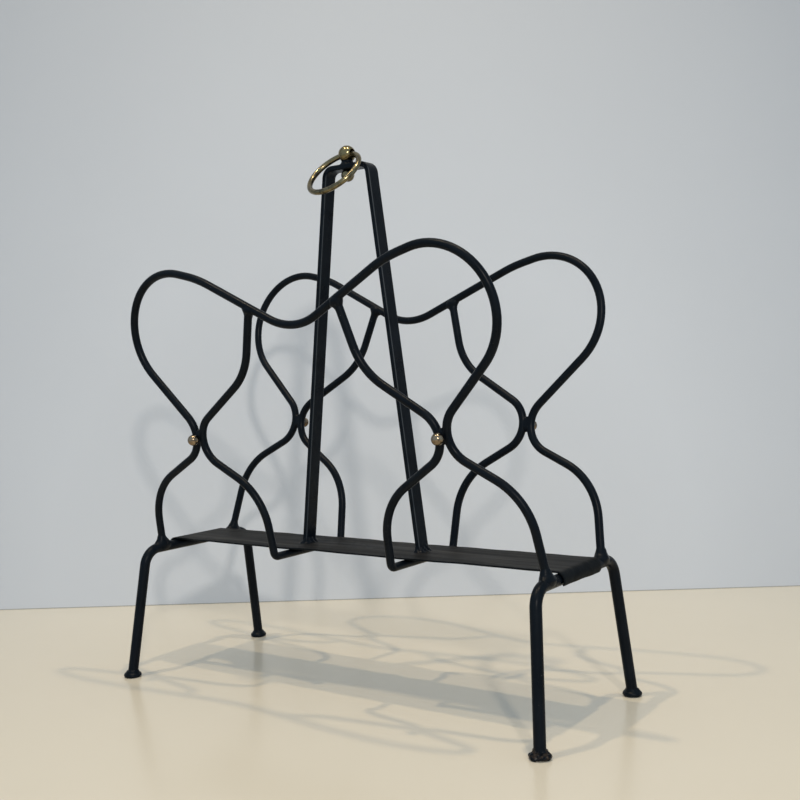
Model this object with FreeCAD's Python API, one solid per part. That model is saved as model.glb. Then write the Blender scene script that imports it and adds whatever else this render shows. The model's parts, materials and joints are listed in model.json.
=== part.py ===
"""Newspaper rack of bent round rod: two leaning side panels over a sheet tray, a flat-bar handle and a ring.

Millimetres, +Z up. X runs along the rack, Y across it with the front at -Y, and the origin is on the floor
below the middle. Each side panel is drawn on its own plane: x along the rack, and v up the slope of the panel
from the axis of the crossbars.
"""

import FreeCAD, Part

import math
import os

from FreeCAD import Vector

# ---------------------------------------------------------------- driving dimensions

LEFT, RIGHT = -1, 1
FRONT, BACK = -1, 1

ROD_R = 3.0                 # side panel rod
LEG_R = 4.0                 # leg frame rod
CROSSBAR_X = 177.4          # axis of each crossbar
CROSSBAR_Z = 101.4
CROSSBAR_HALF = 58.5        # half length between the corners of a leg frame
LEG_BEND_R = 14.0
LEG_END_Z = 2.2             # the rod ends inside its foot
FOOT_PLACE = {              # x and y of each foot; the legs splay outwards both ways
    (FRONT, LEFT): (-185.0, -72.0),
    (FRONT, RIGHT): (184.5, -72.5),
    (BACK, LEFT): (-182.0, 74.5),
    (BACK, RIGHT): (184.5, 71.0),
}

# Half outline of a foot, as radius and height: sole, rim, flank and neck.
FOOT_SOLE = (6.0, 0.0)
FOOT_UNDER_RIM = (6.7, 0.5)
FOOT_RIM = (7.1, 1.6)
FOOT_RIM_TOP = (6.8, 2.9)
FOOT_FLANK = (5.5, 3.95)
FOOT_NECK = (4.6, 5.4)

TRAY_HALF_WIDTH = 28.0
TRAY_THICK = 1.2
TRAY_CURL_R = 4.6           # inside radius of the curl round a crossbar
TRAY_CURL_END = -45.0       # degrees below the horizontal, on the outer side

PANEL_LEAN = 10.5           # degrees outwards from the vertical
PANEL_BASE_Y = 40.5         # where a panel's plane meets the height of the crossbars

# Each bend is the circle the rod is wrapped round: x, v, radius, side. Side is +1 where the rod turns left as
# it runs from the left end to the right end, and -1 where it turns right. The rods were bent by hand, so the
# four quarters differ a little. All are written for the right half.
DIP = {FRONT: (0.0, 223.0, 46.0, 1), BACK: (0.0, 228.0, 46.0, 1)}
LOOP_R = 46.8
LOOP = {                    # x and v of the centre of each upper loop
    (FRONT, LEFT): (116.5, 175.5),
    (FRONT, RIGHT): (117.5, 176.5),
    (BACK, LEFT): (119.5, 182.0),
    (BACK, RIGHT): (121.5, 178.5),
}
CREST_R = 95.0              # the slack bend between the dip and a loop
CREST_SHIFT = (3.0, -49.0)  # from the centre of the loop to the centre of the slack bend
WAIST = {                   # x midway between the two rods, v of the outer bend, v of the inner bend
    (FRONT, LEFT): (112.0, 95.5, 92.0),
    (FRONT, RIGHT): (113.0, 99.0, 94.5),
    (BACK, LEFT): (110.5, 101.0, 98.0),
    (BACK, RIGHT): (112.5, 97.0, 97.5),
}
OUTER_WAIST_R = 22.2
INNER_WAIST_R = 21.5
WAIST_HALF_GAP = 3.3        # from the middle of a waist to the axis of either rod
SHOULDER_R = 48.0
SHOULDER = {
    (FRONT, LEFT): (128.0, 20.5),
    (FRONT, RIGHT): (125.5, 26.0),
    (BACK, LEFT): (123.0, 28.5),
    (BACK, RIGHT): (126.0, 25.0),
}
OUTER_END = (CROSSBAR_X, 0.0, 0.0, 1)

INNER_TOP_X = {             # where each inner rod meets the outer rod
    (FRONT, LEFT): 39.5,
    (FRONT, RIGHT): 42.0,
    (BACK, LEFT): 35.5,
    (BACK, RIGHT): 40.0,
}
NECK_R = 47.5
NECK = {                    # bends of the inner rods above the waist
    (FRONT, LEFT): (94.0, 171.5),
    (FRONT, RIGHT): (96.0, 172.0),
    (BACK, LEFT): (89.5, 177.0),
    (BACK, RIGHT): (94.0, 175.0),
}
BELLY_R = 48.0
BELLY = {                   # bends of the inner rods below the waist
    (FRONT, LEFT): (103.5, 21.0),
    (FRONT, RIGHT): (103.0, 20.5),
    (BACK, LEFT): (103.5, 25.5),
    (BACK, RIGHT): (104.0, 26.5),
}
INNER_CORNER_X = 54.5
INNER_CORNER_R = 4.5
RUN_GAP = 1.2               # between the run of an inner rod and the underside of the tray, bridged by welds
TOP_STAND_OFF = 2.0         # the inner rod stops this far short of the outer rod's axis

HANDLE_WIDE = 12.0          # flat bar, across the rack
HANDLE_THICK = 4.0
HANDLE_EDGE_R = 0.9
HANDLE_FOOT_X = 54.0
HANDLE_TOP_X = 19.6
HANDLE_TOP_Z = 395.2        # axis of the top run
HANDLE_BEND_R = 7.0

KNOB_R = 6.6
KNOB_X = -2.0
KNOB_Z = 405.1
KNOB_COLLAR_R = 3.6
KNOB_HOLE_R = 3.4
KNOB_TURN = -6.0            # degrees the ring's hole is turned from the length of the rack
STUD_R = 2.0
STUD_CLEARANCE = 0.1
STUD_BOTTOM_Z = 386.7
STUD_TOP_Z = 401.2
NUT_R = 5.0
NUT_Z = 389.4

RING_R = 21.5               # centre line
RING_WIRE_R = 2.1
RING_DROOP = 46.5           # degrees below the horizontal where the ring leans on the handle

BEAD_R = 4.25               # brass ball on each waist
BEAD_OUT = 7.4              # its centre, out from the plane of the panel
BEAD_PIN_R = 1.0
BEAD_PIN_DEPTH = 1.5        # the pin ends this far out from the plane of the panel

WAIST_WELD_HALF_W = 6.0
WAIST_WELD_HALF_H = 7.5
WAIST_WELD_HALF_T = 2.6
WAIST_WELD_HOLLOW_R = 4.2
WAIST_WELD_HOLLOW_DEPTH = 1.8
WAIST_SEAT_R = 2.6
WAIST_SEAT_OUT = 3.7

TOP_WELD_R = 7.0            # each cone of weld metal narrows from the base radius to the rod
TOP_WELD_LENGTH = 9.5
TOP_WELD_HALF_T = 3.5
RAIL_WELD_R = 7.0
RAIL_WELD_LENGTH = 9.5
RAIL_WELD_HALF_T = 3.9
WELD_TIP_R = 3.1

HANDLE_WELD_LONG = 15.0     # footprint on the tray
HANDLE_WELD_WIDE = 15.0
HANDLE_WELD_CORNER_R = 2.0
HANDLE_WELD_TOP = 1.0       # how far the top of the weld stands out round the bar
HANDLE_WELD_HEIGHT = 4.5

TRAY_WELD_R = 1.7
TRAY_WELD_HALF_LENGTH = 22.0
RUN_WELD_R = 1.6
RUN_WELD_LENGTH = 10.0
RUN_WELD_EDGE = 3.0         # from the edge of the tray to the end of the weld
BEAD_DEPTH = 0.7            # the axis of a bead lies this many of its radii under the tray

# ---------------------------------------------------------------- derived places

TRAY_UNDER_Z = CROSSBAR_Z + TRAY_CURL_R
TRAY_TOP_Z = TRAY_UNDER_Z + TRAY_THICK
RUN_Z = TRAY_UNDER_Z - RUN_GAP - ROD_R
HANDLE_TOP_FACE_Z = HANDLE_TOP_Z + HANDLE_THICK / 2
HANDLE_UNDER_FACE_Z = HANDLE_TOP_Z - HANDLE_THICK / 2
LEAN = math.radians(PANEL_LEAN)
RUN_V = (RUN_Z - CROSSBAR_Z) / math.cos(LEAN)

SIDES = (("left", LEFT), ("right", RIGHT))
FACES = (("front", FRONT), ("back", BACK))
X_AXIS = Vector(1, 0, 0)
Y_AXIS = Vector(0, 1, 0)
Z_AXIS = Vector(0, 0, 1)


# ---------------------------------------------------------------- the leaning planes

def on_panel(face, x, v, out=0.0):
    """The point at x and v on a panel, moved out from its plane by out."""
    y = PANEL_BASE_Y + v * math.sin(LEAN) + out * math.cos(LEAN)
    z = CROSSBAR_Z + v * math.cos(LEAN) - out * math.sin(LEAN)
    return Vector(x, face * y, z)


def panel_normal(face):
    """The direction out of a panel's plane, away from the middle of the rack."""
    return Vector(0, face * math.cos(LEAN), -math.sin(LEAN))


# ---------------------------------------------------------------- bent paths

def tangent(first, second):
    """The run between two bends: where it leaves the first, where it meets the second, and its heading."""
    x1, v1, r1, side1 = first
    x2, v2, r2, side2 = second
    gap = math.hypot(x2 - x1, v2 - v1)
    heading = math.atan2(v2 - v1, x2 - x1) - math.asin((side2 * r2 - side1 * r1) / gap)
    left = (-math.sin(heading), math.cos(heading))
    leave = (x1 - side1 * r1 * left[0], v1 - side1 * r1 * left[1])
    meet = (x2 - side2 * r2 * left[0], v2 - side2 * r2 * left[1])
    return leave, meet, heading


def bend_edges(bends, face):
    """Straight runs and tangent arcs round a row of bends on one panel. A bend of radius 0 is an end."""
    runs = [tangent(a, b) for a, b in zip(bends, bends[1:])]
    edges = []
    for i, (leave, meet, heading) in enumerate(runs):
        start = on_panel(face, *leave)
        stop = on_panel(face, *meet)
        edges.append(Part.LineSegment(start, stop).toShape())
        if i + 1 < len(runs):
            x, v, radius, side = bends[i + 1]
            turn = side * ((runs[i + 1][2] - heading) * side % (2 * math.pi))
            middle = heading + turn / 2
            halfway = (x + side * radius * math.sin(middle), v - side * radius * math.cos(middle))
            after = on_panel(face, *runs[i + 1][0])
            edges.append(Part.Arc(stop, on_panel(face, *halfway), after).toShape())
    return edges


def mirrored(bends):
    """The same bends on the left half, in the order that runs towards the middle."""
    return [(-x, v, radius, side) for x, v, radius, side in reversed(bends)]


def rounded_path(points, radius):
    """Straight runs through the points, with a tangent arc of one radius at each corner."""
    edges = []
    start = points[0]
    for before, corner, after in zip(points, points[1:], points[2:]):
        back = (before - corner).normalize()
        ahead = (after - corner).normalize()
        half = back.getAngle(ahead) / 2
        reach = radius / math.tan(half)
        into = corner + back * reach
        out_of = corner + ahead * reach
        bisector = (back + ahead).normalize()
        middle = corner + bisector * (radius / math.sin(half) - radius)
        edges.append(Part.LineSegment(start, into).toShape())
        edges.append(Part.Arc(into, middle, out_of).toShape())
        start = out_of
    edges.append(Part.LineSegment(start, points[-1]).toShape())
    return edges


def rod(edges, radius):
    """A round rod along a path."""
    path = Part.Wire(edges)
    start = path.Edges[0].valueAt(path.Edges[0].FirstParameter)
    heading = path.Edges[0].tangentAt(path.Edges[0].FirstParameter)
    section = Part.Wire(Part.makeCircle(radius, start, heading))
    return path.makePipeShell([section], True, False)


# ---------------------------------------------------------------- solids with several users

def biggest(shape):
    """The largest solid of a cut shape, without the offcuts."""
    return max(shape.Solids, key=lambda solid: solid.Volume)


def slab(centre, normal, half_thickness, half_size=60.0):
    """A wide plate about a plane, used to trim weld metal flat."""
    plate = Part.makeBox(2 * half_size, 2 * half_size, 2 * half_thickness,
                         Vector(-half_size, -half_size, -half_thickness))
    plate.Placement = FreeCAD.Placement(centre, FreeCAD.Rotation(Z_AXIS, normal))
    return plate


def weld_cone(foot, along, base_r, length, normal, half_thickness):
    """Weld metal round the end of a rod: a cone from the foot of the rod, trimmed to a slab."""
    cone = Part.makeCone(base_r, WELD_TIP_R, length, foot, along)
    return cone.common(slab(foot, normal, half_thickness))


# ---------------------------------------------------------------- leg frames and feet

def leg_frame(side):
    """One rod bent to a leg, a crossbar and a second leg."""
    corner_x = side * CROSSBAR_X
    points = [
        Vector(*FOOT_PLACE[FRONT, side], LEG_END_Z),
        Vector(corner_x, -CROSSBAR_HALF, CROSSBAR_Z),
        Vector(corner_x, CROSSBAR_HALF, CROSSBAR_Z),
        Vector(*FOOT_PLACE[BACK, side], LEG_END_Z),
    ]
    return rod(rounded_path(points, LEG_BEND_R), LEG_R)


def foot(side, face, frame):
    """A domed pad turned about the vertical, socketed on the end of its leg."""
    half_outline = (FOOT_SOLE, FOOT_UNDER_RIM, FOOT_RIM, FOOT_RIM_TOP, FOOT_FLANK, FOOT_NECK)
    sole, under_rim, rim, rim_top, flank, neck = [Vector(r, 0, z) for r, z in half_outline]
    bottom = Vector(0, 0, sole.z)
    top = Vector(0, 0, neck.z)
    outline = Part.Wire([
        Part.LineSegment(bottom, sole).toShape(),
        Part.Arc(sole, under_rim, rim).toShape(),
        Part.LineSegment(rim, rim_top).toShape(),
        Part.Arc(rim_top, flank, neck).toShape(),
        Part.LineSegment(neck, top).toShape(),
        Part.LineSegment(top, bottom).toShape(),
    ])
    pad = Part.Face(outline).revolve(bottom, Z_AXIS, 360)
    pad.translate(Vector(*FOOT_PLACE[face, side], 0))
    return biggest(pad.cut(frame))


# ---------------------------------------------------------------- tray

def around_crossbar(side, radius, degrees):
    """A point on a circle about a crossbar; 90 degrees is its top and 0 its outer side."""
    angle = math.radians(degrees)
    x = CROSSBAR_X + radius * math.cos(angle)
    return Vector(side * x, -TRAY_HALF_WIDTH, CROSSBAR_Z + radius * math.sin(angle))


def tray():
    """Thin sheet whose two ends curl down round the outside of the crossbars."""
    outer_r = TRAY_CURL_R + TRAY_THICK
    halfway = (90 + TRAY_CURL_END) / 2
    edges = []
    for radius in (TRAY_CURL_R, outer_r):
        tops = [around_crossbar(side, radius, 90) for side in (LEFT, RIGHT)]
        edges.append(Part.LineSegment(*tops).toShape())
        for side in (LEFT, RIGHT):
            curl = [around_crossbar(side, radius, angle) for angle in (90, halfway, TRAY_CURL_END)]
            edges.append(Part.Arc(*curl).toShape())
    for side in (LEFT, RIGHT):
        lip = [around_crossbar(side, radius, TRAY_CURL_END) for radius in (TRAY_CURL_R, outer_r)]
        edges.append(Part.LineSegment(*lip).toShape())
    outline = Part.Wire(Part.__sortEdges__(edges))
    return Part.Face(outline).extrude(Y_AXIS * 2 * TRAY_HALF_WIDTH)


# ---------------------------------------------------------------- side panels

def crest_bend(face, side):
    """The slack bend between the dip and a loop."""
    x, v = LOOP[face, side]
    return (x + CREST_SHIFT[0], v + CREST_SHIFT[1], CREST_R, -1)


def outer_bends(face, side):
    """Bends of one half of an outer rod, from the crest of the loop down to the crossbar."""
    waist_x, waist_v, _ = WAIST[face, side]
    return [
        crest_bend(face, side),
        (*LOOP[face, side], LOOP_R, -1),
        (waist_x + WAIST_HALF_GAP + OUTER_WAIST_R, waist_v, OUTER_WAIST_R, 1),
        (*SHOULDER[face, side], SHOULDER_R, -1),
        OUTER_END,
    ]


def outer_rod(face, frames):
    """One rod from crossbar to crossbar, up round both loops and down into the dip between them."""
    bends = mirrored(outer_bends(face, LEFT)) + [DIP[face]] + outer_bends(face, RIGHT)
    whole = rod(bend_edges(bends, face), ROD_R)
    for frame in frames:
        whole = whole.cut(frame)
    return biggest(whole)


def top_weld_point(face, side):
    """Where the inner rod's line meets the outer rod's axis, as x and v on the panel's right half."""
    leave, _, heading = tangent(DIP[face], crest_bend(face, side))
    x = INNER_TOP_X[face, side]
    return x, leave[1] + (x - leave[0]) * math.tan(heading)


def inner_bends(face, side):
    """Bends of an inner rod on one panel's right half, from just under the outer rod to the corner."""
    x, v = top_weld_point(face, side)
    start = (x, v - TOP_STAND_OFF, 0.0, 1)
    waist_x, _, waist_v = WAIST[face, side]
    return [
        start,
        (*NECK[face, side], NECK_R, 1),
        (waist_x - WAIST_HALF_GAP - INNER_WAIST_R, waist_v, INNER_WAIST_R, -1),
        (*BELLY[face, side], BELLY_R, 1),
        (INNER_CORNER_X, RUN_V, 0.0, 1),
    ]


def inner_rod(side, outers):
    """One rod: down the front panel, under the tray, and up the back panel. Drawn on the right half."""
    front = bend_edges(inner_bends(FRONT, side), FRONT)
    back = bend_edges(inner_bends(BACK, side), BACK)
    front_leg = front.pop()
    back_leg = back.pop()
    under = rounded_path([
        front_leg.valueAt(front_leg.FirstParameter),
        on_panel(FRONT, INNER_CORNER_X, RUN_V),
        on_panel(BACK, INNER_CORNER_X, RUN_V),
        back_leg.valueAt(back_leg.FirstParameter),
    ], INNER_CORNER_R)
    whole = rod(Part.__sortEdges__(front + under + back), ROD_R)
    if side == LEFT:
        whole = whole.mirror(Vector(0, 0, 0), X_AXIS)
    for outer in outers:
        whole = whole.cut(outer)
    return biggest(whole)


def waist_point(face, side, out=0.0):
    """The middle of a waist, moved out from the panel."""
    x, outer_v, inner_v = WAIST[face, side]
    return on_panel(face, side * x, (outer_v + inner_v) / 2, out)


def waist_ball(face, side):
    """Brass ball with a short pin that goes into the weld."""
    centre = waist_point(face, side, BEAD_OUT)
    pin_foot = waist_point(face, side, BEAD_PIN_DEPTH)
    pin = Part.makeCylinder(BEAD_PIN_R, BEAD_OUT - BEAD_PIN_DEPTH, pin_foot, panel_normal(face))
    return Part.makeSphere(BEAD_R, centre).fuse(pin).removeSplitter().Solids[0]


def waist_weld(face, side, rods, ball):
    """Web of weld metal between the two rods, hollowed above and below, with a seat for the ball."""
    web = Part.makeBox(2 * WAIST_WELD_HALF_W, 2 * WAIST_WELD_HALF_H, 2 * WAIST_WELD_HALF_T,
                       Vector(-WAIST_WELD_HALF_W, -WAIST_WELD_HALF_H, -WAIST_WELD_HALF_T))
    for end in (-1, 1):
        hollow_y = end * (WAIST_WELD_HALF_H + WAIST_WELD_HOLLOW_R - WAIST_WELD_HOLLOW_DEPTH)
        hollow = Part.makeCylinder(WAIST_WELD_HOLLOW_R, 4 * WAIST_WELD_HALF_T,
                                   Vector(0, hollow_y, -2 * WAIST_WELD_HALF_T))
        web = web.cut(hollow)
    seat = Part.makeCylinder(WAIST_SEAT_R, WAIST_SEAT_OUT)
    web = web.fuse(seat)
    up_slope = on_panel(face, 0, 1) - on_panel(face, 0, 0)
    normal = panel_normal(face)
    across = up_slope.cross(normal)
    turn = FreeCAD.Rotation(across, up_slope, normal, "ZXY")
    web.Placement = FreeCAD.Placement(waist_point(face, side), turn)
    for piece in rods + [ball]:
        web = web.cut(piece)
    return biggest(web)


def top_weld(face, side, outer, inner):
    """Weld metal round the top end of an inner rod, where it meets the outer rod."""
    x, v = top_weld_point(face, side)
    bends = inner_bends(face, side)
    _, meet, _ = tangent(bends[0], bends[1])
    foot_point = on_panel(face, side * x, v)
    along = on_panel(face, side * meet[0], meet[1]) - foot_point
    cone = weld_cone(foot_point, along, TOP_WELD_R, TOP_WELD_LENGTH, panel_normal(face), TOP_WELD_HALF_T)
    return biggest(cone.cut(outer).cut(inner))


def rail_weld(face, side, outer, frame):
    """Weld metal round the lower end of an outer rod, on top of the crossbar."""
    leave, meet, _ = tangent((*SHOULDER[face, side], SHOULDER_R, -1), OUTER_END)
    foot_point = on_panel(face, side * meet[0], meet[1])
    along = on_panel(face, side * leave[0], leave[1]) - foot_point
    cone = weld_cone(foot_point, along, RAIL_WELD_R, RAIL_WELD_LENGTH, X_AXIS, RAIL_WELD_HALF_T)
    return biggest(cone.cut(outer).cut(frame))


# ---------------------------------------------------------------- handle, knob and ring

def rounded_rectangle(width, height, radius, centre, x_dir, y_dir):
    """A closed wire: a rectangle with rounded corners, on the plane of two directions."""
    half_w = width / 2
    half_h = height / 2
    diagonal = radius * (1 - math.sqrt(0.5))

    def at(x, y):
        return centre + x_dir * x + y_dir * y

    edges = []
    for sx, sy in ((1, 1), (-1, 1), (-1, -1), (1, -1)):
        side_end = at(sx * half_w, sy * (half_h - radius))
        corner = at(sx * (half_w - diagonal), sy * (half_h - diagonal))
        top_end = at(sx * (half_w - radius), sy * half_h)
        edges.append(Part.Arc(side_end, corner, top_end).toShape())
    for sign in (-1, 1):
        upright = [at(sign * half_w, y) for y in (radius - half_h, half_h - radius)]
        level = [at(x, sign * half_h) for x in (radius - half_w, half_w - radius)]
        edges.append(Part.LineSegment(*upright).toShape())
        edges.append(Part.LineSegment(*level).toShape())
    return Part.Wire(Part.__sortEdges__(edges))


def handle_bar():
    """Flat bar bent to two sloping legs and a short top, cut level at the tray and drilled for the stud."""
    slope = (HANDLE_FOOT_X - HANDLE_TOP_X) / (HANDLE_TOP_Z - TRAY_TOP_Z)
    spare = 2 * HANDLE_THICK
    low_x = HANDLE_FOOT_X + slope * spare
    low_z = TRAY_TOP_Z - spare
    points = [
        Vector(-low_x, 0, low_z),
        Vector(-HANDLE_TOP_X, 0, HANDLE_TOP_Z),
        Vector(HANDLE_TOP_X, 0, HANDLE_TOP_Z),
        Vector(low_x, 0, low_z),
    ]
    path = Part.Wire(rounded_path(points, HANDLE_BEND_R))
    up_leg = (points[1] - points[0]).normalize()
    through = up_leg.cross(Y_AXIS)
    section = rounded_rectangle(HANDLE_THICK, HANDLE_WIDE, HANDLE_EDGE_R, points[0], through, Y_AXIS)
    sweep = Part.BRepOffsetAPI.MakePipeShell(path)
    sweep.setBiNormalMode(Y_AXIS)
    sweep.add(section)
    sweep.build()
    sweep.makeSolid()
    below_tray = Part.makeBox(4 * low_x, 4 * HANDLE_WIDE, 4 * spare,
                              Vector(-2 * low_x, -2 * HANDLE_WIDE, TRAY_TOP_Z - 4 * spare))
    stud_hole = Part.makeCylinder(STUD_R + STUD_CLEARANCE, 4 * HANDLE_THICK,
                                  Vector(KNOB_X, 0, HANDLE_TOP_Z - 2 * HANDLE_THICK))
    return biggest(sweep.shape().cut(below_tray).cut(stud_hole))


def handle_weld(side, bar):
    """A low skirt of weld metal round the foot of the handle."""
    centre = Vector(side * HANDLE_FOOT_X, 0, TRAY_TOP_Z)
    top_centre = centre + Z_AXIS * HANDLE_WELD_HEIGHT
    top_long = HANDLE_THICK + 2 * HANDLE_WELD_TOP
    top_wide = HANDLE_WIDE + 2 * HANDLE_WELD_TOP
    corner_r = HANDLE_WELD_CORNER_R
    base = rounded_rectangle(HANDLE_WELD_LONG, HANDLE_WELD_WIDE, corner_r, centre, X_AXIS, Y_AXIS)
    top = rounded_rectangle(top_long, top_wide, HANDLE_WELD_TOP, top_centre, X_AXIS, Y_AXIS)
    return biggest(Part.makeLoft([base, top], True, True).cut(bar))


def knob_axis():
    """The direction of the ring's hole through the knob."""
    turn = math.radians(KNOB_TURN)
    return Vector(math.cos(turn), math.sin(turn), 0)


def ball_knob(stud):
    """Brass ball on a collar, drilled across for the ring and from below for the stud."""
    centre = Vector(KNOB_X, 0, KNOB_Z)
    seat = Vector(KNOB_X, 0, HANDLE_TOP_FACE_Z)
    collar = Part.makeCylinder(KNOB_COLLAR_R, KNOB_Z - HANDLE_TOP_FACE_Z, seat)
    axis = knob_axis()
    hole = Part.makeCylinder(KNOB_HOLE_R, 4 * KNOB_R, centre - axis * 2 * KNOB_R, axis)
    knob = Part.makeSphere(KNOB_R, centre).fuse(collar).removeSplitter()
    return biggest(knob.cut(hole).cut(stud))


def handle_stud():
    return Part.makeCylinder(STUD_R, STUD_TOP_Z - STUD_BOTTOM_Z, Vector(KNOB_X, 0, STUD_BOTTOM_Z))


def ball_nut(stud):
    """Brass ball under the handle, faced flat where it bears on the bar."""
    ball = Part.makeSphere(NUT_R, Vector(KNOB_X, 0, NUT_Z))
    above = Part.makeBox(4 * NUT_R, 4 * NUT_R, 4 * NUT_R,
                         Vector(KNOB_X - 2 * NUT_R, -2 * NUT_R, HANDLE_UNDER_FACE_Z))
    return biggest(ball.cut(above).cut(stud))


def lifting_ring():
    """Brass ring through the knob, drooping forwards until it leans on the front edge of the handle."""
    centre = Vector(KNOB_X, 0, KNOB_Z)
    axis = knob_axis()
    droop = math.radians(RING_DROOP)
    forwards = axis.cross(Z_AXIS)
    to_middle = forwards * math.cos(droop) - Z_AXIS * math.sin(droop)
    return Part.makeTorus(RING_R, RING_WIRE_R, centre + to_middle * RING_R, axis.cross(to_middle))


# ---------------------------------------------------------------- hidden welds under the tray

def tray_weld(side, frame, sheet):
    """A bead in the groove between a crossbar and the underside of the tray, on the inner side."""
    x = side * (CROSSBAR_X - LEG_R)
    z = TRAY_UNDER_Z - TRAY_WELD_R * BEAD_DEPTH
    start = Vector(x, -TRAY_WELD_HALF_LENGTH, z)
    bead = Part.makeCylinder(TRAY_WELD_R, 2 * TRAY_WELD_HALF_LENGTH, start, Y_AXIS)
    return biggest(bead.cut(frame).cut(sheet))


def run_weld(side, inner, sheet):
    """Two beads that hold an inner rod to the underside of the tray, one near each edge."""
    x = side * (INNER_CORNER_X - ROD_R)
    z = TRAY_UNDER_Z - RUN_WELD_R * BEAD_DEPTH
    beads = []
    for face in (FRONT, BACK):
        far = TRAY_HALF_WIDTH - RUN_WELD_EDGE
        start = Vector(x, face * far, z)
        bead = Part.makeCylinder(RUN_WELD_R, RUN_WELD_LENGTH, start, Y_AXIS * -face)
        beads.append(biggest(bead.cut(inner).cut(sheet)))
    return Part.makeCompound(beads)


# ---------------------------------------------------------------- assembly

def build():
    nodes = {}
    for side_name, side in SIDES:
        frame = leg_frame(side)
        nodes[f"{side_name}_leg_frame"] = frame
        for face_name, face in FACES:
            nodes[f"foot_{face_name}_{side_name}"] = foot(side, face, frame)
    frames = [nodes["left_leg_frame"], nodes["right_leg_frame"]]

    nodes["tray"] = tray()
    for face_name, face in FACES:
        nodes[f"{face_name}_outer_rod"] = outer_rod(face, frames)
    outers = [nodes["front_outer_rod"], nodes["back_outer_rod"]]
    for side_name, side in SIDES:
        nodes[f"{side_name}_inner_rod"] = inner_rod(side, outers)

    for face_name, face in FACES:
        outer = nodes[f"{face_name}_outer_rod"]
        for side_name, side in SIDES:
            inner = nodes[f"{side_name}_inner_rod"]
            place = f"{face_name}_{side_name}"
            ball = waist_ball(face, side)
            nodes[f"waist_ball_{place}"] = ball
            nodes[f"waist_weld_{place}"] = waist_weld(face, side, [outer, inner], ball)
            nodes[f"top_weld_{place}"] = top_weld(face, side, outer, inner)
            nodes[f"rail_weld_{place}"] = rail_weld(face, side, outer, nodes[f"{side_name}_leg_frame"])

    bar = handle_bar()
    stud = handle_stud()
    nodes["handle_bar"] = bar
    nodes["handle_stud"] = stud
    nodes["ball_knob"] = ball_knob(stud)
    nodes["ball_nut"] = ball_nut(stud)
    nodes["lifting_ring"] = lifting_ring()
    for side_name, side in SIDES:
        nodes[f"handle_weld_{side_name}"] = handle_weld(side, bar)
        nodes[f"tray_weld_{side_name}"] = tray_weld(side, nodes[f"{side_name}_leg_frame"], nodes["tray"])
        nodes[f"run_weld_{side_name}"] = run_weld(side, nodes[f"{side_name}_inner_rod"], nodes["tray"])
    return nodes


os.makedirs("parts", exist_ok=True)
for node, shape in build().items():
    shape.exportStep(f"parts/{node}.step")
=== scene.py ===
"""Looks of the newspaper rack: weld metal, feet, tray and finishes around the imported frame. Metres, +Z up."""

import itertools
import json
import math
import random

import bpy
import numpy as np
from mathutils import Matrix, Vector
from mathutils.bvhtree import BVHTree


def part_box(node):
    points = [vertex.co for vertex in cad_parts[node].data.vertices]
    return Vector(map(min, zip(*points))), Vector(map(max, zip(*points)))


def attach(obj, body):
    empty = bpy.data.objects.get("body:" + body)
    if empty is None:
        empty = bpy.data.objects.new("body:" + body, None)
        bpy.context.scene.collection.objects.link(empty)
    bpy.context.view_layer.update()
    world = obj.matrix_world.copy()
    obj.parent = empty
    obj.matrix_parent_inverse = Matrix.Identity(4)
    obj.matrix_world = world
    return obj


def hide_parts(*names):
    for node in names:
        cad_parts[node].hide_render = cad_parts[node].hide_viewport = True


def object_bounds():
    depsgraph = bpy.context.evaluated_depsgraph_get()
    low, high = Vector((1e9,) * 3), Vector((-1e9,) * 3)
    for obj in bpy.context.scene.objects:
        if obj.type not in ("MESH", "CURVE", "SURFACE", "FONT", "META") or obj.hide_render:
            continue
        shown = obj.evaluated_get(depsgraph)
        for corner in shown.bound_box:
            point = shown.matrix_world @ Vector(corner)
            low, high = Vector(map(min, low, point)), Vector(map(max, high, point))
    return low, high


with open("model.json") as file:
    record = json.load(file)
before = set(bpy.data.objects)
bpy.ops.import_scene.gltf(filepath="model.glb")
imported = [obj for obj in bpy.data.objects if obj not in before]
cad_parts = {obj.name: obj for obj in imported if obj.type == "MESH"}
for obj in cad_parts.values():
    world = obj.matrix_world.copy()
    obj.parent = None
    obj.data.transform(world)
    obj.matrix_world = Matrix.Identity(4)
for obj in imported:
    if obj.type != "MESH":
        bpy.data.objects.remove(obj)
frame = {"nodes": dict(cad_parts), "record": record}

cad_low, cad_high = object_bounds()
nodes = frame["nodes"]
MM = 0.001

# ---------------------------------------------------------------- view and lamps

CAMERA_PLACE = (0.4912, -0.6462, 0.2434)
CAMERA_YAW = math.radians(35.0)     # turned from +Y towards -X
CAMERA_PITCH = math.radians(1.8)    # below the horizon
CAMERA_ROLL = math.radians(-2.07)
CAMERA_LENS = 48.0                  # on a 36 mm sensor

WALL_NORMAL = Vector((-0.55, 0.835, 0)).normalized()
WALL_DISTANCE = 0.305               # from the middle of the rack
WALL_SIZE = 6.0
GAP_HEIGHT = 0.9 * MM               # the dark joint between wall and floor
FLOOR_SIZE = 8.0

# Each lamp: kind, place, size across, power, colour. All point at the middle of the rack.
LAMPS = {
    "ceiling_right": ("SPOT", (0.288, -0.021, 1.643), 0.05, 24.5, (1.0, 0.82, 0.57)),
    "ceiling_left": ("SPOT", (-0.328, -0.524, 2.065), 0.06, 40.5, (1.0, 0.82, 0.57)),
    "window": ("AREA", (1.47, -1.5, 1.1), 0.13, 15.5, (1.0, 0.92, 0.82)),
}
BEAM = math.radians(74)
SKY_COLOUR = (0.635, 0.80, 1.0)
SKY_STRENGTH = 0.725


# ---------------------------------------------------------------- node helpers

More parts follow.
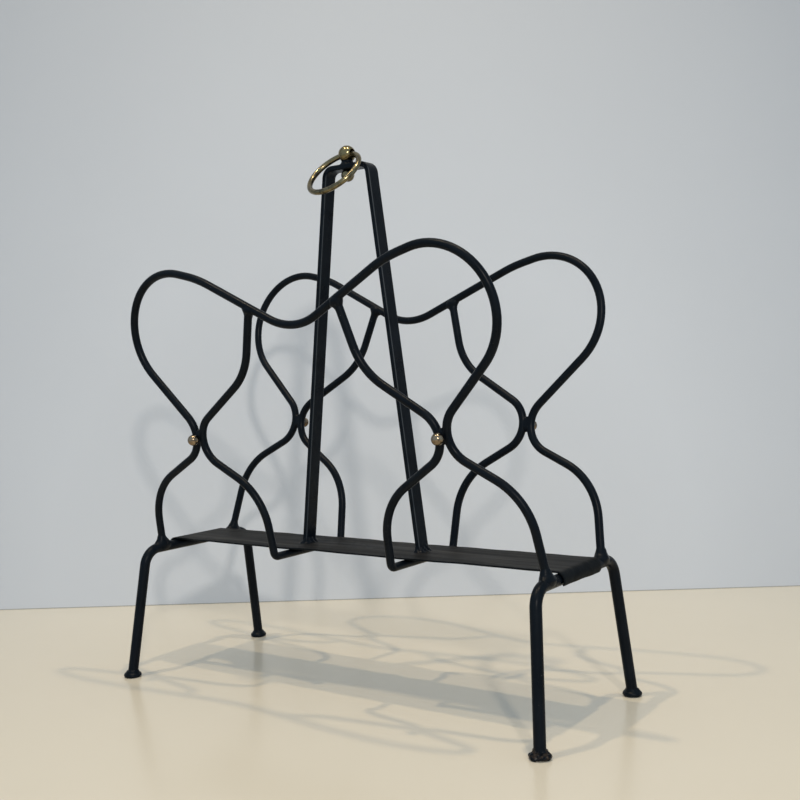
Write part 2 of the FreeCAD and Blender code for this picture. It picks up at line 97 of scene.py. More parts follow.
def new_material(name):
    """A material with its node tree, its shader and the object's own coordinates."""
    material = bpy.data.materials.new(name)
    material.use_nodes = True
    tree = material.node_tree
    shader = tree.nodes["Principled BSDF"]
    place = tree.nodes.new("ShaderNodeTexCoord").outputs["Object"]
    return material, tree, shader, place


def stretched(tree, place, scale):
    """The coordinates scaled by a different amount along each axis."""
    mapping = tree.nodes.new("ShaderNodeMapping")
    mapping.inputs["Scale"].default_value = scale
    tree.links.new(place, mapping.inputs["Vector"])
    return mapping.outputs["Vector"]


def noise(tree, place, scale, detail=3.0, roughness=0.55, distortion=0.0):
    texture = tree.nodes.new("ShaderNodeTexNoise")
    texture.inputs["Scale"].default_value = scale
    texture.inputs["Detail"].default_value = detail
    texture.inputs["Roughness"].default_value = roughness
    texture.inputs["Distortion"].default_value = distortion
    tree.links.new(place, texture.inputs["Vector"])
    return texture.outputs["Fac"]


def cells(tree, place, scale):
    """Distance to the nearest of scattered points, scale of them to the metre, and each cell's shade."""
    texture = tree.nodes.new("ShaderNodeTexVoronoi")
    texture.inputs["Scale"].default_value = scale
    tree.links.new(place, texture.inputs["Vector"])
    return texture.outputs["Distance"], texture.outputs["Color"]


def ramp(tree, value, low, high, start=0.0, stop=1.0):
    """The value from low to high, stretched to run from start to stop and clamped."""
    spread = tree.nodes.new("ShaderNodeMapRange")
    spread.inputs["From Min"].default_value = low
    spread.inputs["From Max"].default_value = high
    spread.inputs["To Min"].default_value = start
    spread.inputs["To Max"].default_value = stop
    tree.links.new(value, spread.inputs["Value"])
    return spread.outputs["Result"]


def maths(tree, operation, first, second):
    node = tree.nodes.new("ShaderNodeMath")
    node.operation = operation
    for socket, value in zip(node.inputs, (first, second)):
        if isinstance(value, (int, float)):
            socket.default_value = value
        else:
            tree.links.new(value, socket)
    return node.outputs["Value"]


def height_of(tree, vector):
    """The Z part of a vector."""
    split = tree.nodes.new("ShaderNodeSeparateXYZ")
    tree.links.new(vector, split.inputs[0])
    return split.outputs["Z"]


def against(tree, operation, vector, fixed):
    """The DISTANCE or the DOT_PRODUCT between a vector and a fixed one."""
    node = tree.nodes.new("ShaderNodeVectorMath")
    node.operation = operation
    node.inputs[1].default_value = fixed
    tree.links.new(vector, node.inputs[0])
    return node.outputs["Value"]


def bevel(tree, radius):
    """The surface normal as it would be with edges rounded by radius."""
    node = tree.nodes.new("ShaderNodeBevel")
    node.inputs["Radius"].default_value = radius
    return node.outputs["Normal"]


def blend(tree, amount, first, second):
    """First colour to second colour by amount. Each is a colour or a socket."""
    mix = tree.nodes.new("ShaderNodeMix")
    mix.data_type = "RGBA"
    tree.links.new(amount, mix.inputs["Factor"])
    for socket, value in ((mix.inputs["A"], first), (mix.inputs["B"], second)):
        if isinstance(value, tuple):
            socket.default_value = (*value, 1)
        else:
            tree.links.new(value, socket)
    return mix.outputs["Result"]


def bump(tree, shader, layers, edge=0.0):
    """Stacked bumps, over edges rounded by edge. Each layer is a height socket and its depth in metres."""
    normal = bevel(tree, edge) if edge else None
    for height, depth in layers:
        node = tree.nodes.new("ShaderNodeBump")
        node.inputs["Strength"].default_value = 1.0
        node.inputs["Distance"].default_value = depth
        tree.links.new(height, node.inputs["Height"])
        if normal is not None:
            tree.links.new(normal, node.inputs["Normal"])
        normal = node.outputs["Normal"]
    tree.links.new(normal, shader.inputs["Normal"])


# ---------------------------------------------------------------- finishes

# Parts of the range of a noise that a pattern is stretched over.
CORE = (0.35, 0.65)
SPAN = (0.3, 0.7)

# Each pair runs from the darker to the lighter patches.
LACQUER = (0.0024, 0.0041, 0.0066), (0.0042, 0.0068, 0.0102)
LACQUER_DUST = (0.07, 0.07, 0.065)
# painted highlight: the lighter colour given to the handle's arrises that face one way
LACQUER_PAINTED_HIGHLIGHT = (0.050, 0.058, 0.064)
LACQUER_SCORCHED = (0.030, 0.021, 0.015)
LACQUER_GLOSS = (0.26, 0.38)
PEEL_GLOSS = (-0.03, 0.05)              # what the orange peel of the lacquer adds to it
LACQUER_SPECULAR = 0.09
PAINTED_HIGHLIGHT_SIDE = (0.707, -0.707, 0.0)      # painted highlight: the arrises of the handle that face this way are painted lighter, as if they caught the light
PITS_PER_METRE = 420
COARSE_PITS_PER_METRE = 700
HANDLE_EDGE = 0.9 * MM

TRAY_TOP = (0.0085, 0.0088, 0.0090), (0.0140, 0.0140, 0.0138)
TRAY_CURLS = (0.0028, 0.0042, 0.0054), (0.0052, 0.0072, 0.0088)
TRAY_WORN = (0.030, 0.0285, 0.0265)
TRAY_SCRATCHES = (0.008, 0.008, 0.008)
TRAY_SPECULAR = 0.07

BRASS_GLOSS = (0.17, 0.30)
# painted shade at the foot of the knob, where it meets the bar: its colour, blur, ragged edge and height
CREVICE_PAINTED_SHADE = (0.006, 0.005, 0.004)
CREVICE_BLUR = 1.6 * MM
CREVICE_RAGGED = 0.5 * MM
KNOB_SHADE_HEIGHT = 3.2 * MM            # above the foot of the knob's collar

STEEL = (0.30, 0.29, 0.28), (0.42, 0.41, 0.40)


def black_lacquer(name, pits_per_metre, edge=0.0, scorch=0.0):
    """Satin blue-black lacquer over worked iron: faint orange peel, pits and specks of dust.

    edge is the rounding of its sharp edges, and with it the arrises that face one way get a painted highlight.
    scorch is how much of it is burnt to a rusty brown.
    """
    material, tree, shader, place = new_material(name)
    patches = noise(tree, place, 55, 4)
    peel = noise(tree, place, 900, 2)
    waves = noise(tree, place, 130, 2)
    pit_distance, _ = cells(tree, place, pits_per_metre)
    pits = ramp(tree, pit_distance, 0.06, 0.16)
    speck_distance, speck_shade = cells(tree, place, 210)
    specks = maths(tree, "MULTIPLY", ramp(tree, speck_distance, 0.07, 0.04),
                   ramp(tree, speck_shade, 0.62, 0.66))
    body = blend(tree, ramp(tree, patches, *CORE), *LACQUER)
    if edge:
        # painted highlight: arrises facing one way are painted lighter, where light would catch them
        arris_highlight = against(tree, "DOT_PRODUCT", bevel(tree, edge), PAINTED_HIGHLIGHT_SIDE)
        body = blend(tree, ramp(tree, arris_highlight, 0.88, 0.97), body, LACQUER_PAINTED_HIGHLIGHT)
    if scorch:
        burnt = noise(tree, place, 420, 4)
        body = blend(tree, ramp(tree, burnt, 0.62 - scorch / 2, 0.78 - scorch / 2), body, LACQUER_SCORCHED)
    tree.links.new(blend(tree, specks, body, LACQUER_DUST), shader.inputs["Base Color"])
    gloss = maths(tree, "ADD", ramp(tree, patches, *SPAN, *LACQUER_GLOSS),
                  ramp(tree, peel, *SPAN, *PEEL_GLOSS))
    tree.links.new(gloss, shader.inputs["Roughness"])
    shader.inputs["Specular IOR Level"].default_value = LACQUER_SPECULAR
    bump(tree, shader, [(waves, 0.10 * MM), (peel, 0.03 * MM), (pits, 0.05 * MM)], edge)
    return material


def tray_paint():
    """Thin matt paint on sheet iron, wiped lengthwise on top so that some brown-grey metal shows there."""
    material, tree, shader, place = new_material("tray_paint")
    streaks = noise(tree, stretched(tree, place, (7, 190, 190)), 1.0, 5, 0.6, 0.4)
    fine = noise(tree, stretched(tree, place, (30, 900, 900)), 1.0, 3)
    cloud = noise(tree, place, 30, 4)
    grain = noise(tree, place, 1500, 2)
    normal = tree.nodes.new("ShaderNodeNewGeometry").outputs["Normal"]
    level = ramp(tree, height_of(tree, normal), 0.85, 0.98)
    body = blend(tree, ramp(tree, cloud, *CORE), *TRAY_TOP)
    worn = blend(tree, ramp(tree, streaks, 0.50, 0.72), body, TRAY_WORN)
    wiped = blend(tree, ramp(tree, fine, 0.55, 0.75, 0.0, 0.6), worn, TRAY_SCRATCHES)
    dark = blend(tree, ramp(tree, cloud, *CORE), *TRAY_CURLS)
    tree.links.new(blend(tree, level, dark, wiped), shader.inputs["Base Color"])
    tree.links.new(ramp(tree, streaks, *SPAN, 0.66, 0.50), shader.inputs["Roughness"])
    shader.inputs["Specular IOR Level"].default_value = TRAY_SPECULAR
    bump(tree, shader, [(cloud, 0.2 * MM), (grain, 0.012 * MM)])
    return material


def aged_brass(name, bright, tarnish, cover_low, crevice_z=0.0):
    """Brass rubbed bright in places, with brown tarnish elsewhere and painted black shade below crevice_z."""
    material, tree, shader, place = new_material(name)
    patches = noise(tree, place, 120, 4, 0.6)
    fine = noise(tree, place, 900, 3)
    dents = noise(tree, place, 260, 2)
    cover = maths(tree, "ADD", patches, ramp(tree, fine, *SPAN, -0.05, 0.05))
    amount = ramp(tree, cover, cover_low, cover_low + 0.18)
    colour = blend(tree, amount, bright, tarnish)
    # painted shade: black below crevice_z, where the knob meets the bar
    if crevice_z:
        shift = ramp(tree, fine, *SPAN, -CREVICE_RAGGED, CREVICE_RAGGED)
        ragged = maths(tree, "ADD", height_of(tree, place), shift)
        unshaded = ramp(tree, ragged, crevice_z - CREVICE_BLUR, crevice_z + CREVICE_BLUR)
        colour = blend(tree, unshaded, CREVICE_PAINTED_SHADE, colour)
    tree.links.new(colour, shader.inputs["Base Color"])
    shader.inputs["Metallic"].default_value = 1.0
    tree.links.new(ramp(tree, cover, 0.35, 0.7, *BRASS_GLOSS), shader.inputs["Roughness"])
    bump(tree, shader, [(dents, 0.02 * MM), (fine, 0.003 * MM)])
    return material


def stud_steel():
    """Plain steel with the marks of turning round its length."""
    material, tree, shader, place = new_material("stud_steel")
    turned = noise(tree, stretched(tree, place, (60, 60, 2600)), 1.0, 2)
    tree.links.new(blend(tree, turned, *STEEL), shader.inputs["Base Color"])
    shader.inputs["Metallic"].default_value = 1.0
    tree.links.new(ramp(tree, turned, *SPAN, 0.35, 0.5), shader.inputs["Roughness"])
    bump(tree, shader, [(turned, 0.02 * MM)])
    return material


FINISH = {
    "black_lacquer": black_lacquer("black_lacquer", PITS_PER_METRE),
    "tray_paint": tray_paint(),
    "aged_brass": aged_brass("aged_brass", (0.22, 0.18, 0.098), (0.070, 0.060, 0.040), 0.46),
    "stud_steel": stud_steel(),
}
BEAD_BRASS = aged_brass("bead_brass", (0.31, 0.235, 0.155), (0.095, 0.066, 0.042), 0.44)
KNOB_SHADE_Z = float(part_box("ball_knob")[0][2]) + KNOB_SHADE_HEIGHT
KNOB_BRASS = aged_brass("knob_brass", (0.24, 0.19, 0.092), (0.088, 0.070, 0.040), 0.50, KNOB_SHADE_Z)
BAR_LACQUER = black_lacquer("bar_lacquer", PITS_PER_METRE, edge=HANDLE_EDGE)
BURNT_LACQUER = black_lacquer("burnt_lacquer", COARSE_PITS_PER_METRE, scorch=0.3)
SLOT = {part["node"]: part["material_slot"] for part in frame["record"]["subparts"]}


# ---------------------------------------------------------------- distance fields and their surfaces

def middle(node):
    low, high = map(np.array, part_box(node))
    return (low + high) / 2


def half_size(node):
    low, high = map(np.array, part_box(node))
    return (high - low) / 2


trees = {}


def surface_tree(node):
    """A search tree over a CAD node's triangles."""
    if node not in trees:
        mesh = nodes[node].data
        points = [v.co.copy() for v in mesh.vertices]
        trees[node] = BVHTree.FromPolygons(points, [tuple(p.vertices) for p in mesh.polygons])
    return trees[node]


SQUARE_ON = 0.97            # cosine between the way to a point and the normal of the face it lies over
SAME_PLACE = 1e-6


def signed_distance(node, point):
    """Distance to a CAD node's surface, negative inside. At an edge, the face seen most squarely decides."""
    tree = surface_tree(node)
    near, normal, _, distance = tree.find_nearest(point)
    away = point - near
    if distance > 0 and abs(away.dot(normal)) < SQUARE_ON * distance:
        normals = [hit[1] for hit in tree.find_nearest_range(near, SAME_PLACE)]
        normal = max(normals, key=lambda facing: abs(away.dot(facing)), default=normal)
    return math.copysign(distance, away.dot(normal))


def refine(values, times):
    """A grid of values with times as many steps along each axis, by linear interpolation."""
    for axis in range(3):
        count = values.shape[axis]
        places = np.linspace(0, count - 1, (count - 1) * times + 1)
        low = np.minimum(places.astype(int), count - 2)
        share = (places - low).reshape([-1 if a == axis else 1 for a in range(3)])
        values = np.take(values, low, axis) * (1 - share) + np.take(values, low + 1, axis) * share
    return values


def smooth_min(first, second, reach):
    """The lower of two fields, rounded where they are within reach of each other."""
    share = np.clip(1 - np.abs(first - second) / reach, 0, 1)
    return np.minimum(first, second) - share * share * reach / 4


WAVE_COUNT = 9


def lumps(grid, size, seed):
    """Smooth random waves of about one size, from -1 to 1."""
    draw = random.Random(seed)
    total = np.zeros(grid.shape[:-1])
    for _ in range(WAVE_COUNT):
        heading = Vector([draw.gauss(0, 1) for _ in range(3)]).normalized()
        length = size * draw.uniform(0.7, 1.5)
        total += np.sin(grid @ np.array(heading) * (2 * math.pi / length) + draw.uniform(0, 2 * math.pi))
    return total / WAVE_COUNT ** 0.5 / 1.5


def surface_net(field, origin, step):
    """Vertices and quads of the surface where a field on a grid is 0."""
    inside = field < 0
    shape = np.array(field.shape) - 1
    corner = list(itertools.product((0, 1), repeat=3))

    def at(array, offset):
        return array[tuple(slice(o, o + n) for o, n in zip(offset, shape))]

    total = np.zeros((*shape, 3))
    weight = np.zeros(shape)
    for a, b in itertools.combinations(corner, 2):
        along = np.array(b) - np.array(a)
        if np.abs(along).sum() != 1:
            continue
        crossed = at(inside, a) != at(inside, b)
        first = at(field, a)
        share = np.where(crossed, first / np.where(crossed, first - at(field, b), 1), 0)
        total += crossed[..., None] * (np.array(a) + share[..., None] * along)
        weight += crossed
    used = weight > 0
    index = np.full(shape, -1)
    index[used] = np.arange(used.sum())
    cell = np.stack(np.nonzero(used), 1)
    points = origin + (cell + total[used] / weight[used][:, None]) * step

    quads = []
    for axis in range(3):
        u, v = (axis + 1) % 3, (axis + 2) % 3
        low = [slice(None)] * 3
        high = [slice(None)] * 3
        low[axis] = slice(0, -1)
        high[axis] = slice(1, None)
        for side in (u, v):
            low[side] = slice(1, -1)
            high[side] = slice(1, -1)
        start = inside[tuple(low)]
        stop = inside[tuple(high)]
        for flip in (False, True):
            hit = np.stack(np.nonzero((stop & ~start) if flip else (start & ~stop)), 1)
            ring = []
            for du, dv in ((1, 1), (0, 1), (0, 0), (1, 0)):
                place = hit.copy()
                place[:, u] += du
                place[:, v] += dv
                ring.append(index[tuple(place.T)])
            quads.append(np.stack(ring[::-1] if flip else ring, 1))
    return points, np.concatenate(quads)


CRUMB_SHARE = 0.1


def without_crumbs(points, faces):
    """The mesh without the loose crumbs that have less than CRUMB_SHARE of the faces of its largest part."""
    label = np.arange(len(points))
    settled = False
    while not settled:
        lower = label.copy()
        np.minimum.at(lower, faces.ravel(), np.repeat(label[faces].min(1), faces.shape[1]))
        lower = lower[lower]
        settled = bool((lower == label).all())
        label = lower
    part = label[faces[:, 0]]
    sizes = np.bincount(part, minlength=len(points))
    faces = faces[sizes[part] > CRUMB_SHARE * sizes.max()]
    used, renumbered = np.unique(faces, return_inverse=True)
    return points[used], renumbered.reshape(faces.shape)


def add_mesh(name, points, faces, finish, body, slot, *stands_for):
    """A smooth shaded mesh piece that rides on a body and stands for CAD nodes."""
    mesh = bpy.data.meshes.new(name)
    mesh.from_pydata([tuple(p) for p in points], [], [tuple(int(i) for i in f) for f in faces])
    mesh.validate()
    mesh.shade_smooth()
    mesh.materials.append(finish)
    piece = bpy.data.objects.new(name, mesh)
    bpy.context.scene.collection.objects.link(piece)
    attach(piece, body)
    if stands_for:
        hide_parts(*stands_for)
    return piece


COARSE_STEP = 0.9 * MM
REFINE_TIMES = 3
SKIN = 0.04 * MM            # how far below the CAD surface grown metal ends where it fades
SINK = 0.6 * MM             # how much deeper it goes under that surface
FADE_START = 0.45           # of the way from the middle of the metal to the sides of its box
FADE_REACH = 0.4
CUT_REACH = 0.97


def smooth_step(value):
    value = np.clip(value, 0, 1)
    return value * value * (3 - 2 * value)


def oval(grid, centre, half):
    """How far each point is from a centre, as a share of the way to the surface of an ellipsoid."""
    return np.sqrt((((grid - centre) / half) ** 2).sum(-1))


def grid_over(low, step, count):
    axes = [low[i] + step * np.arange(count[i]) for i in range(3)]
    return np.stack(np.meshgrid(*axes, indexing="ij"), -1)


def grown_surface(node, parts, fillet, margin, lump_size, lump_depth, shape=None):
    """The surface of metal that flows between CAD parts around a CAD node, and sinks under them at its edge.

    margin is how far it may spread past the node's box. shape takes the grid and the field of the joined
    parts, and gives back the field, how much of it has faded, and where it is cut off. Without it the metal
    is a rounded lump inside the box.
    """
    centre = middle(node)
    half = half_size(node) + margin
    low = centre - half - COARSE_STEP
    count = np.ceil(2 * (half + COARSE_STEP) / COARSE_STEP).astype(int) + 1
    flat = [Vector(p) for p in grid_over(low, COARSE_STEP, count).reshape(-1, 3)]
    fields = [refine(np.array([signed_distance(part, p) for p in flat]).reshape(count), REFINE_TIMES)
              for part in parts]
    step = COARSE_STEP / REFINE_TIMES
    grid = grid_over(low, step, fields[0].shape)
    field = fields[0]
    for other in fields[1:]:
        field = smooth_min(field, other, fillet)
    if shape:
        field, fade, cut = shape(grid, field)
    else:
        reach = oval(grid, centre, half)
        fade = smooth_step((reach - FADE_START) / FADE_REACH)
        cut = (reach - CUT_REACH) * half.min()
    seed = sum(map(ord, node))
    field = field + fade * SINK + SKIN + lumps(grid, lump_size, seed) * lump_depth * (1 - fade)
    return without_crumbs(*surface_net(np.maximum(field, cut), low, step))


def grown_metal(node, *recipe, finish=None):
    """Grown metal in place of a CAD node."""
    slot = SLOT[node]
    add_mesh(node + "_metal", *grown_surface(node, *recipe), finish or FINISH[slot], "root", slot, node)


# ---------------------------------------------------------------- pieces

SIDES = ("left", "right")
FACES = ("front", "back")

# Each kind of joint: fillet, margin, lump size, lump depth.
WELDS = {
    "top": (5.5 * MM, 3.5 * MM, 5 * MM, 0.16 * MM),
    "rail": (9.0 * MM, 6.5 * MM, 5 * MM, 0.2 * MM),
    "waist": (5.0 * MM, 2.5 * MM, 5 * MM, 0.12 * MM),
    "handle": (5.5 * MM, 5.0 * MM, 4 * MM, 0.4 * MM),
    "tray": (3.0 * MM, 2.0 * MM, 7 * MM, 0.35 * MM),
    "run": (3.0 * MM, 2.0 * MM, 6 * MM, 0.2 * MM),
}

for face, side in itertools.product(FACES, SIDES):
    outer, inner, legs = f"{face}_outer_rod", f"{side}_inner_rod", f"{side}_leg_frame"
    for kind, parts in (("top", [outer, inner]), ("rail", [outer, legs]), ("waist", [outer, inner])):
        grown_metal(f"{kind}_weld_{face}_{side}", parts, *WELDS[kind])

for side in SIDES:
    for kind, part in (("handle", "handle_bar"), ("tray", f"{side}_leg_frame"), ("run", f"{side}_inner_rod")):
        grown_metal(f"{kind}_weld_{side}", [part, "tray"], *WELDS[kind])


COLLAR_FILLET_HALF = np.array((6.6, 5.6, 4.2)) * MM
COLLAR_FILLET_HEIGHT = 0.6 * MM                 # its middle, above the foot of the knob's collar
COLLAR_FILLET_FADE_START = 0.6
COLLAR_FILLET_FADE_REACH = 0.35
COLLAR_FILLET_RECIPE = (7.0 * MM, 0.0, 4 * MM, 0.15 * MM)


def knob_collar_fillet(grid, field):
    """A fillet of black lacquer packed round the collar of the knob, between the ball and the bar."""
    collar = middle("ball_knob")
    collar[2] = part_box("ball_knob")[0][2] + COLLAR_FILLET_HEIGHT
    reach = oval(grid, collar, COLLAR_FILLET_HALF)
    fade = smooth_step((reach - COLLAR_FILLET_FADE_START) / COLLAR_FILLET_FADE_REACH)
    return field, fade, (reach - CUT_REACH) * COLLAR_FILLET_HALF.min()


add_mesh("knob_collar_fillet", *grown_surface("ball_knob", ["ball_knob", "handle_bar"], *COLLAR_FILLET_RECIPE, knob_collar_fillet),
         FINISH["black_lacquer"], "root", "black_lacquer")


# ---------------------------------------------------------------- feet

FOOT_FADE_Z = (5.0 * MM, 8.5 * MM)
LOBE_SPREAD = 3.4 * MM
LOBE_R = (3.7 * MM, 4.8 * MM, 2.6 * MM)     # across the split, along it, and up
LOBE_Z = 2.0 * MM
LOBE_SIZES = ((-1, 1.0), (1, 1.06))
LOBE_FILLET = 2.2 * MM
SPLIT_HEADING = math.radians(35)            # the way from one lobe to the other, from +X towards +Y
BURNT_DEPTH = 1.2 * MM                      # how much of the pad is gone, up to BURNT_TOP
BURNT_TOP = 3.8 * MM
BURNT_FADE = 2 * MM

# Fillet, margin, lump size, lump depth.
FOOT_RECIPE = (1.2 * MM, 4 * MM, 6 * MM, 0.14 * MM)
SPLIT_FOOT = "foot_front_right"
SPLIT_FOOT_RECIPE = (2.0 * MM, 4 * MM, 3.5 * MM, 0.3 * MM)


def plain_foot(grid, field):
    """The pad and the leg joined, sitting flat on the floor and fading up the leg."""
    height = grid[..., 2]
    fade = smooth_step((height - FOOT_FADE_Z[0]) / (FOOT_FADE_Z[1] - FOOT_FADE_Z[0]))
    return field, fade, np.maximum(-height, height - FOOT_FADE_Z[1])


def split_foot(node):
    """A foot that was burnt in two lobes: the pad shrunk, with a lobe either side of a notch."""
    centre = middle(node)
    across = np.array((math.cos(SPLIT_HEADING), math.sin(SPLIT_HEADING)))
    along = np.array((-across[1], across[0]))

    def shape(grid, field):
        flat = grid[..., :2] - centre[:2]
        height = grid[..., 2]
        turned = np.stack((flat @ across, flat @ along, height), -1)
        field = field + BURNT_DEPTH * (1 - smooth_step((height - BURNT_TOP) / BURNT_FADE))
        for sign, size in LOBE_SIZES:
            reach = oval(turned, (sign * LOBE_SPREAD, 0, LOBE_Z), LOBE_R)
            field = smooth_min(field, (reach - size) * LOBE_R[2], LOBE_FILLET)
        return plain_foot(grid, field)

    return shape


for face, side in itertools.product(FACES, SIDES):
    foot = f"foot_{face}_{side}"
    parts = [foot, f"{side}_leg_frame"]
    if foot == SPLIT_FOOT:
        grown_metal(foot, parts, *SPLIT_FOOT_RECIPE, split_foot(foot), finish=BURNT_LACQUER)
    else:
        grown_metal(foot, parts, *FOOT_RECIPE, plain_foot)


# ---------------------------------------------------------------- tray

TRAY_THICK = 1.2 * MM
CURL_END = math.radians(-45)            # from the horizontal, on the outer side of the crossbar
CURL_STEP = 0.8 * MM
SHEET_STEP = 3 * MM
ROW_STEP = 2 * MM

# How far the sheet is off its true shape, and how long the waves are.
WAVE_DEPTH, WAVE_SIZE = 0.36 * MM, 45 * MM      # over its faces
EDGE_DEPTH, EDGE_SIZE = 0.65 * MM, 28 * MM      # along its two long edges
LIP_DEPTH, LIP_SIZE = 0.8 * MM, 22 * MM         # along the ends of its curls
WAVES_END = 5                                   # half widths of the sheet, from its middle
WAVES_FADE = 40 * MM
EDGE_FALL = 8                                   # the power of the way from the middle line to an edge
LIP_ROWS = 6
EDGE_ROUND = 0.35 * MM
EDGE_THIN = 0.6                                 # share of the thickness left at the long edges


def curl_radius(tray_low, tray_high):
    """Radius of the middle line of the curls, from the height of the sheet with its curls."""
    drop = tray_high[2] - tray_low[2] - TRAY_THICK / 2
    return (drop - TRAY_THICK / 2 * math.sin(-CURL_END)) / (1 + math.sin(-CURL_END))


def sheet_line(tray_low, tray_high):
    """The middle line of the sheet from one end to the other: x and z, then the x and z of its normals."""
    radius = curl_radius(tray_low, tray_high)
    sweep = math.pi / 2 - CURL_END
    steps = int(radius * sweep / CURL_STEP)
    arcs = []
    for side in (-1, 1):
        axis_x = side * (tray_high[0] - radius - TRAY_THICK / 2)
        axis_z = tray_high[2] - radius - TRAY_THICK / 2
        arc = []
        for i in range(steps + 1):
            angle = CURL_END + sweep * i / steps
            arc.append((axis_x + side * radius * math.cos(angle), axis_z + radius * math.sin(angle),
                        side * math.cos(angle), math.sin(angle)))
        arcs.append(arc)
    left, right = arcs
    start_x, top_z = left[-1][:2]
    span = right[-1][0] - start_x
    count = int(span / SHEET_STEP)
    flat = [(start_x + span * i / count, top_z, 0.0, 1.0) for i in range(1, count)]
    return np.array(left + flat + right[::-1])


def section_ring(half_wide):
    """Once round the cross section of the sheet: place across it and height, each from -1 to 1."""
    rows = int(2 * half_wide / ROW_STEP)
    inner = 1 - EDGE_ROUND / half_wide
    places = [-1, -inner, *np.linspace(-1, 1, rows)[1:-1], inner, 1]
    return [(place, face * (EDGE_THIN if abs(place) == 1 else 1.0))
            for face in (1, -1) for place in places[::face]]


def build_tray():
    """The sheet with slightly wavy faces and hand-cut edges, rounded a little where it was cut."""
    tray_low, tray_high = map(np.array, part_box("tray"))
    half_wide = (tray_high[1] - tray_low[1]) / 2
    line = sheet_line(tray_low, tray_high)
    ring = section_ring(half_wide)
    heading = np.gradient(line[:, :2], axis=0)
    heading /= np.linalg.norm(heading, axis=1)[:, None]
    rows = []
    for i, (x, z, normal_x, normal_z) in enumerate(line):
        loose = max(0, 1 - min(i, len(line) - 1 - i) / LIP_ROWS)
        for place, face in ring:
            rows.append((x, place * half_wide, z, normal_x, normal_z, place, face, *heading[i] * loose))
    data = np.array(rows)
    base, normal, place, face, lip_way = data[:, :3], data[:, 3:5], data[:, 5], data[:, 6], data[:, 7:9]

    def waves(size, seed):
        return lumps(base[:, None, :], size, seed)[:, 0]

    middle_share = smooth_step((half_wide * WAVES_END - np.abs(base[:, 0])) / WAVES_FADE)
    rise = face * TRAY_THICK / 2 + waves(WAVE_SIZE, 7) * WAVE_DEPTH * middle_share
    moved = base.copy()
    moved[:, 1] += np.sign(place) * waves(EDGE_SIZE, 8) * EDGE_DEPTH * np.abs(place) ** EDGE_FALL
    moved[:, ::2] += normal * rise[:, None] + lip_way * (waves(LIP_SIZE, 9) * LIP_DEPTH)[:, None]

    around = len(ring)
    last = len(line) - 1
    faces = [(i * around + j, i * around + (j + 1) % around,
              (i + 1) * around + (j + 1) % around, (i + 1) * around + j)
             for i in range(last) for j in range(around)]
    faces.append(tuple(range(around - 1, -1, -1)))
    faces.append(tuple(range(last * around, (last + 1) * around)))
    add_mesh("tray_sheet", moved, faces, FINISH["tray_paint"], "root", "tray_paint", "tray")


build_tray()


# ---------------------------------------------------------------- finishes of the CAD nodes

def finish_of(name):
    if name == "ball_knob":
        return KNOB_BRASS
    if name == "handle_bar":
        return BAR_LACQUER
    if name.startswith("waist_ball"):
        return BEAD_BRASS
    return FINISH[SLOT[name]]


for name, piece in nodes.items():
    piece.data.materials.clear()
    piece.data.materials.append(finish_of(name))


# ---------------------------------------------------------------- stage

# The wall loses light away from FALL_CENTRE, from the near to the far end of FALL_REACH.
FALL_CENTRE = (-0.18, 0.25, 0.04)
FALL_REACH = (0.34, 0.80)
CLOUD_SHADE = 0.97
CLOUDS_PER_METRE = 3.0
GRAIN_PER_METRE = 420
GAP_OFFSET = 0.5 * MM           # the gap strip stands this far in front of the wall


def plain_material(name, colour, roughness, specular, grain_depth, far_shade=1.0):
    """Painted board. far_shade is how much of the colour is left away from the rack."""
    material, tree, shader, place = new_material(name)
    cloud = noise(tree, place, CLOUDS_PER_METRE, 3)
    grain = noise(tree, place, GRAIN_PER_METRE, 2)
    darker = tuple(CLOUD_SHADE * c for c in colour)
    paint = blend(tree, ramp(tree, cloud, *CORE), darker, colour)
    away = against(tree, "DISTANCE", place, FALL_CENTRE)
    far_colour = tuple(far_shade * c for c in colour)
    paint = blend(tree, ramp(tree, away, *FALL_REACH), paint, far_colour)
    tree.links.new(paint, shader.inputs["Base Color"])
    shader.inputs["Roughness"].default_value = roughness
    shader.inputs["Specular IOR Level"].default_value = specular
    bump(tree, shader, [(grain, grain_depth)])
    return material


def stage_plane(name, corners, material):
    mesh = bpy.data.meshes.new(name)
    mesh.from_pydata([tuple(c) for c in corners], [], [(0, 1, 2, 3)])
    mesh.materials.append(material)
    plane = bpy.data.objects.new(name, mesh)
    bpy.context.scene.collection.objects.link(plane)
    return plane


def one_sided(material):
    """Lets the back of a stage surface be seen through, so that the wall never hides the rack from behind."""
    tree = material.node_tree
    shader = tree.nodes["Principled BSDF"]
    output = tree.nodes["Material Output"]
    side = tree.nodes.new("ShaderNodeNewGeometry").outputs["Backfacing"]
    clear = tree.nodes.new("ShaderNodeBsdfTransparent")
    mix = tree.nodes.new("ShaderNodeMixShader")
    tree.links.new(side, mix.inputs[0])
    tree.links.new(shader.outputs[0], mix.inputs[1])
    tree.links.new(clear.outputs[0], mix.inputs[2])
    tree.links.new(mix.outputs[0], output.inputs["Surface"])


floor_material = plain_material("floor", (0.715, 0.645, 0.51), 0.22, 0.4, 0.01 * MM)
wall_material = plain_material("wall", (0.638, 0.665, 0.70), 0.75, 0.2, 0.02 * MM, 0.68)
one_sided(wall_material)

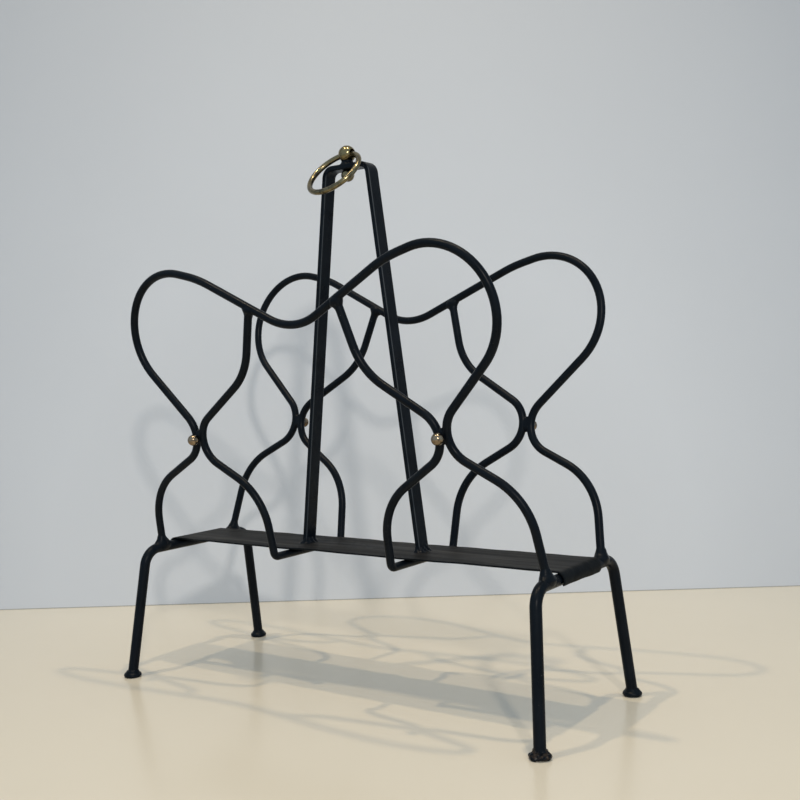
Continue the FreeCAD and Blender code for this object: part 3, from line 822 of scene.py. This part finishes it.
half_floor = FLOOR_SIZE / 2
stage_plane("floor", [(-half_floor, -half_floor, 0), (half_floor, -half_floor, 0),
                      (half_floor, half_floor, 0), (-half_floor, half_floor, 0)], floor_material)
foot_of_wall = WALL_NORMAL * WALL_DISTANCE
along_wall = Vector((0, 0, 1)).cross(WALL_NORMAL) * WALL_SIZE / 2
up_wall = Vector((0, 0, WALL_SIZE / 2))
stage_plane("wall", [foot_of_wall + along_wall, foot_of_wall - along_wall,
                     foot_of_wall - along_wall + up_wall, foot_of_wall + along_wall + up_wall], wall_material)

gap_material = plain_material("gap", (0.40, 0.40, 0.38), 0.8, 0.1, 0.01 * MM)
one_sided(gap_material)
gap_front = foot_of_wall - WALL_NORMAL * GAP_OFFSET
gap_top = Vector((0, 0, GAP_HEIGHT))
stage_plane("gap", [gap_front + along_wall, gap_front - along_wall,
                    gap_front - along_wall + gap_top, gap_front + along_wall + gap_top], gap_material)

target = (cad_low + cad_high) / 2
for name, (kind, place, size, power, colour) in LAMPS.items():
    lamp = bpy.data.lights.new(name, kind)
    if kind == "SPOT":
        lamp.shadow_soft_size = size / 2
        lamp.spot_size = BEAM
        lamp.spot_blend = 1.0
    else:
        lamp.shape = "DISK"
        lamp.size = size
    lamp.energy = power
    lamp.color = colour
    fixture = bpy.data.objects.new(name, lamp)
    fixture.location = place
    fixture.rotation_euler = (target - Vector(place)).to_track_quat("-Z", "Y").to_euler()
    bpy.context.scene.collection.objects.link(fixture)

world = bpy.data.worlds.new("room")
world.use_nodes = True
world.node_tree.nodes["Background"].inputs["Color"].default_value = (*SKY_COLOUR, 1)
world.node_tree.nodes["Background"].inputs["Strength"].default_value = SKY_STRENGTH
bpy.context.scene.world = world
bpy.context.scene.view_settings.view_transform = "Standard"

camera_data = bpy.data.cameras.new("camera")
camera_data.lens = CAMERA_LENS
camera = bpy.data.objects.new("camera", camera_data)
turn = (Matrix.Rotation(CAMERA_YAW, 4, "Z") @ Matrix.Rotation(math.pi / 2 - CAMERA_PITCH, 4, "X")
        @ Matrix.Rotation(CAMERA_ROLL, 4, "Z"))
camera.matrix_world = Matrix.Translation(CAMERA_PLACE) @ turn
bpy.context.scene.collection.objects.link(camera)
bpy.context.scene.camera = camera
